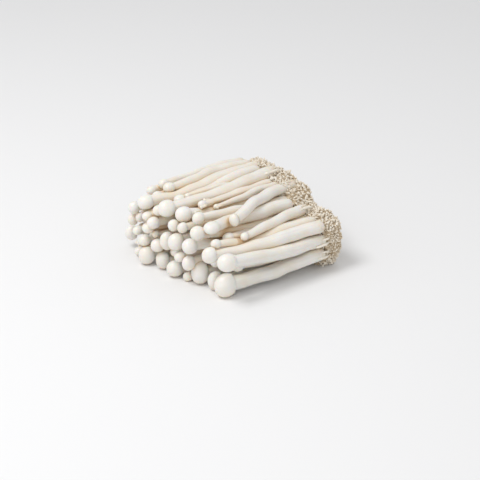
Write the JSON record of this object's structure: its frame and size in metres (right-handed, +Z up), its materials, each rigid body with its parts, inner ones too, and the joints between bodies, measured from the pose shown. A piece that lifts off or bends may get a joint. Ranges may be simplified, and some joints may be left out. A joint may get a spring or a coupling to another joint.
{
  "type": "bunch of white shimeji mushrooms",
  "caption": "Dense bunch of white shimeji mushrooms lying on its side: round caps at one end, long gently curved stems, and a knobbly beige root base they grow from.",
  "frame": {"origin": "on the surface the bunch rests on, under the middle of its bounding box", "axes": "+X along the stems from the caps to the root base, +Y across the bunch, away from its side of three long stems, +Z up"},
  "size_m": [0.0929, 0.0952, 0.0412],
  "materials": {
    "mushrooms": "satin, ivory white flesh",
    "root_base": "matt, beige and crumbly"
  },
  "bodies": {
    "root": {"mushrooms": "mushrooms", "root_base": "root_base"}
  },
  "joints": []
}
